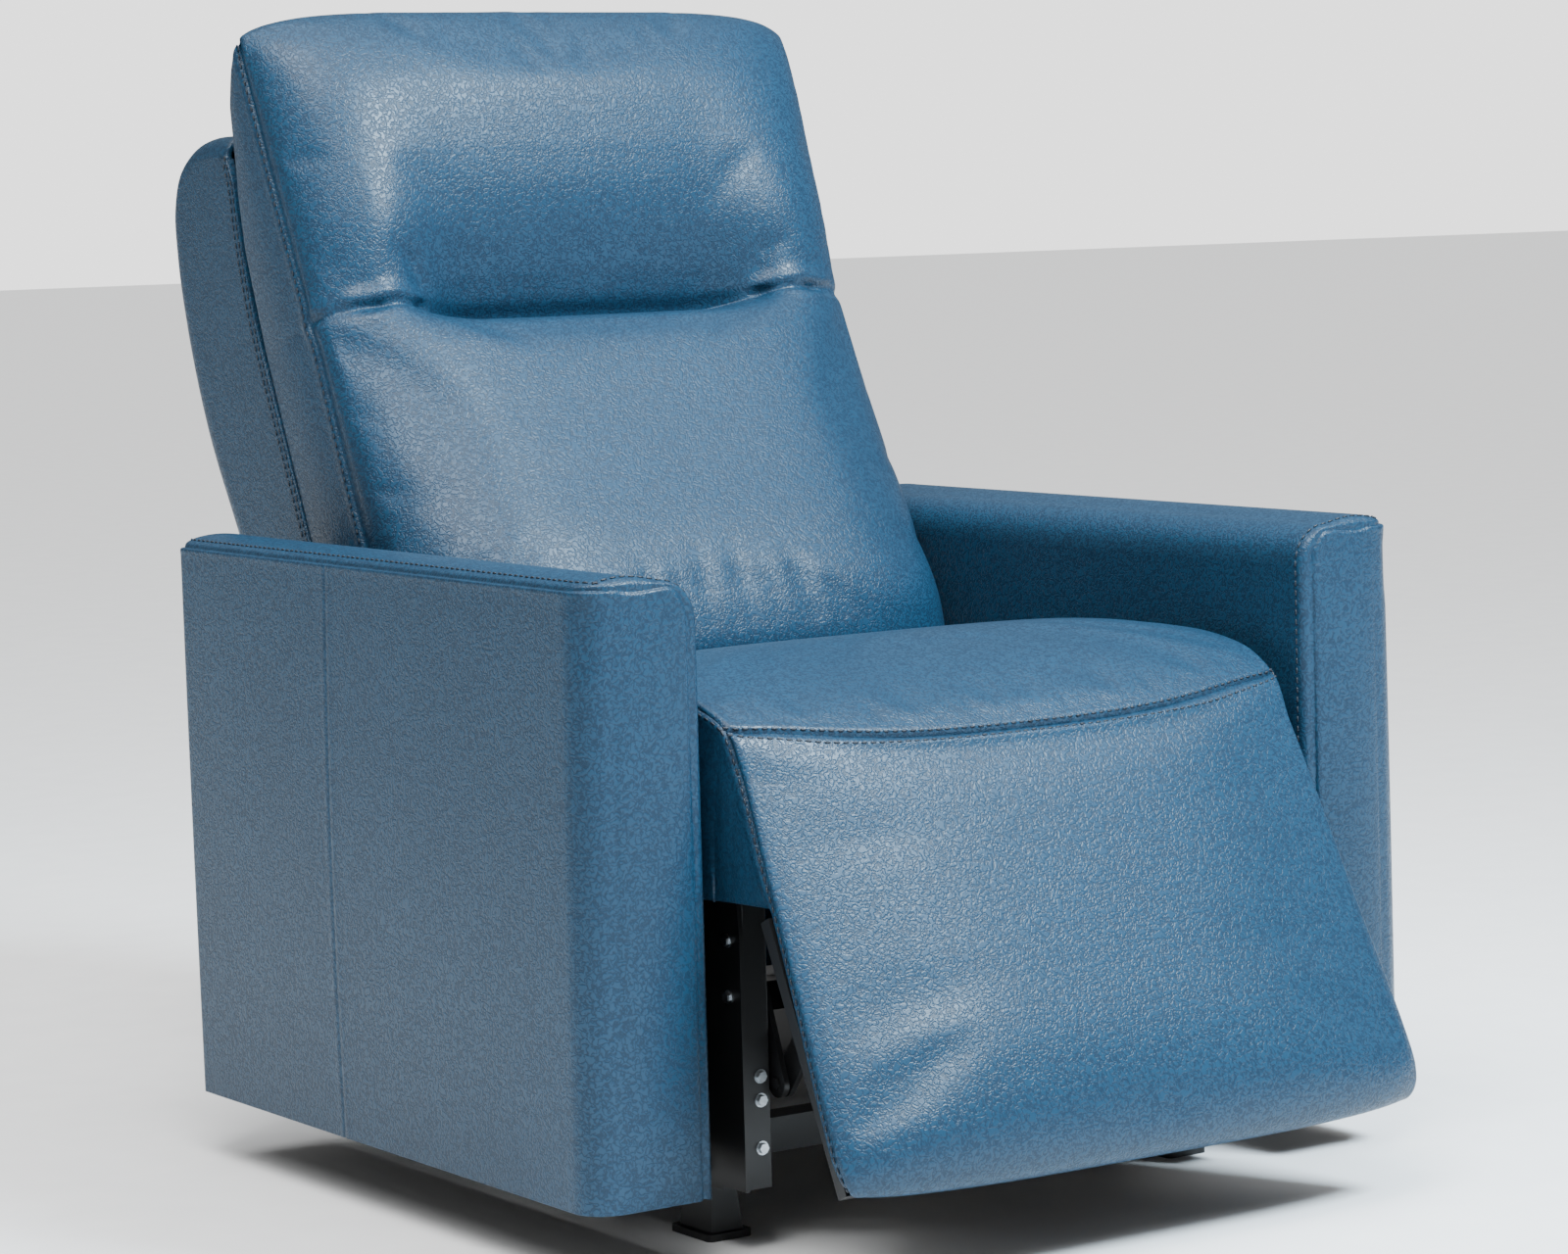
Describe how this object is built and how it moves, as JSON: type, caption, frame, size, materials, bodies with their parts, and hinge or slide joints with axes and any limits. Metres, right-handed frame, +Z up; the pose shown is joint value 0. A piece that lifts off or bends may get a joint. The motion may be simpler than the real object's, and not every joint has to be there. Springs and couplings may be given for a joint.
{
  "type": "power recliner armchair",
  "caption": "Blue leather power recliner armchair with a chaise footrest, reclining back, tilting head section and square padded arms on a black steel mechanism.",
  "frame": {"origin": "on the floor, under the middle of the chair's bounding box at rest", "axes": "+Z up, the sitter faces -Y, +X to the sitter's left"},
  "size_m": [0.86, 1.1392, 1.045],
  "materials": {
    "blue_leather": "pebbled top-grain leather, satin",
    "black_steel": "satin black powder coat",
    "zinc_steel": "zinc plated",
    "frame_wood": "raw plywood",
    "black_board": "board under black dust cloth",
    "black_plastic": "fine textured",
    "web_fabric": "woven elastic webbing"
  },
  "bodies": {
    "base": {"base_rail_left": "black_steel", "base_rail_right": "black_steel", "feet": "black_plastic", "front_cross_tube": "black_steel", "rear_cross_tube": "black_steel", "motor_cross_tube": "black_steel", "side_plate_left": "black_steel", "side_plate_right": "black_steel", "arm_brackets": "black_steel", "frame_bolts": "zinc_steel", "arm_cover_left": "blue_leather", "arm_cover_right": "blue_leather", "arm_frame_left": "frame_wood", "arm_frame_right": "frame_wood", "control_panel": "black_plastic", "rear_rail": "blue_leather", "seat_front_rail": "frame_wood", "seat_rear_rail": "frame_wood", "seat_side_rails": "frame_wood", "seat_springs": "zinc_steel", "seat_cushion": "blue_leather", "footrest_hinges": "black_steel", "footrest_hinge_pins": "zinc_steel", "footrest_motor": "black_plastic", "back_motor": "black_plastic", "power_inlet": "black_plastic"},
    "footrest": {"footrest_arm_left": "black_steel", "footrest_arm_right": "black_steel", "footrest_board": "black_board", "footrest_pad": "blue_leather"},
    "lift_links": {"lift_link_left": "black_steel", "lift_link_right": "black_steel", "torque_tube": "black_steel", "drive_crank": "black_steel"},
    "tie_links": {"tie_link_left": "black_steel", "tie_link_right": "black_steel"},
    "footrest_rod": {"footrest_push_rod": "zinc_steel"},
    "backrest": {"back_bracket_left": "black_steel", "back_bracket_right": "black_steel", "back_pivot_tube": "black_steel", "back_lever": "black_steel", "back_upright_left": "frame_wood", "back_upright_right": "frame_wood", "back_low_rail": "frame_wood", "back_top_rail": "frame_wood", "back_webbing": "web_fabric", "back_shell": "blue_leather", "back_cushion": "blue_leather", "head_hinges": "black_steel", "head_motor": "black_plastic"},
    "back_rod": {"back_push_rod": "zinc_steel"},
    "headrest": {"head_arms": "black_steel", "head_panel": "frame_wood", "head_lever": "black_steel", "head_cushion": "blue_leather"},
    "head_rod": {"head_push_rod": "zinc_steel"},
    "button_recline_back": {"button_recline_back": "black_plastic"},
    "button_recline_up": {"button_recline_up": "black_plastic"},
    "button_head_forward": {"button_head_forward": "black_plastic"},
    "button_head_back": {"button_head_back": "black_plastic"}
  },
  "joints": [
    {"name": "footrest_lift", "type": "hinge", "parent": "base", "child": "footrest", "pos_m": [0, -0.35659, 0.428], "axis": [-1, 0, 0], "range_deg": [-25, 62]},
    {"name": "lift_link_turn", "type": "hinge", "parent": "base", "child": "lift_links", "pos_m": [0, -0.27859, 0.324], "axis": [-1, 0, 0], "range_deg": [-26, 63]},
    {"name": "tie_link_turn", "type": "hinge", "parent": "footrest", "child": "tie_links", "pos_m": [0, -0.43309, 0.24288], "axis": [-1, 0, 0], "range_deg": [-63, 26]},
    {"name": "footrest_drive", "type": "slide", "parent": "base", "child": "footrest_rod", "axis": [0, -1, 0], "range_m": [-0.02372, 0.05735]},
    {"name": "back_recline", "type": "hinge", "parent": "base", "child": "backrest", "pos_m": [0, 0.25329, 0.35095], "axis": [-1, 0, 0], "range_deg": [0, 38]},
    {"name": "back_drive", "type": "slide", "parent": "base", "child": "back_rod", "axis": [0, -1, 0], "range_m": [-0.001, 0.05309]},
    {"name": "head_tilt", "type": "hinge", "parent": "backrest", "child": "headrest", "pos_m": [0, 0.33658, 0.74407], "axis": [1, 0, 0], "range_deg": [0, 25]},
    {"name": "head_drive", "type": "slide", "parent": "backrest", "child": "head_rod", "axis": [0, 0.3955, 0.9184], "range_m": [-0.001, 0.03563]},
    {"name": "press_recline_back", "type": "slide", "parent": "base", "child": "button_recline_back", "axis": [-1, 0, 0], "range_m": [0, 0.0015], "stiffness_N_per_m": 800, "springref_m": -0.001},
    {"name": "press_recline_up", "type": "slide", "parent": "base", "child": "button_recline_up", "axis": [-1, 0, 0], "range_m": [0, 0.0015], "stiffness_N_per_m": 800, "springref_m": -0.001},
    {"name": "press_head_forward", "type": "slide", "parent": "base", "child": "button_head_forward", "axis": [-1, 0, 0], "range_m": [0, 0.0015], "stiffness_N_per_m": 800, "springref_m": -0.001},
    {"name": "press_head_back", "type": "slide", "parent": "base", "child": "button_head_back", "axis": [-1, 0, 0], "range_m": [0, 0.0015], "stiffness_N_per_m": 800, "springref_m": -0.001}
  ],
  "couplings": [
    {"joint": "lift_link_turn", "follows": "footrest_lift", "ratio": 1},
    {"joint": "tie_link_turn", "follows": "footrest_lift", "ratio": -1},
    {"joint": "footrest_drive", "follows": "footrest_lift", "m_per_rad": 0.05207},
    {"joint": "back_drive", "follows": "back_recline", "m_per_rad": 0.07854},
    {"joint": "head_drive", "follows": "head_tilt", "m_per_rad": 0.07937}
  ]
}
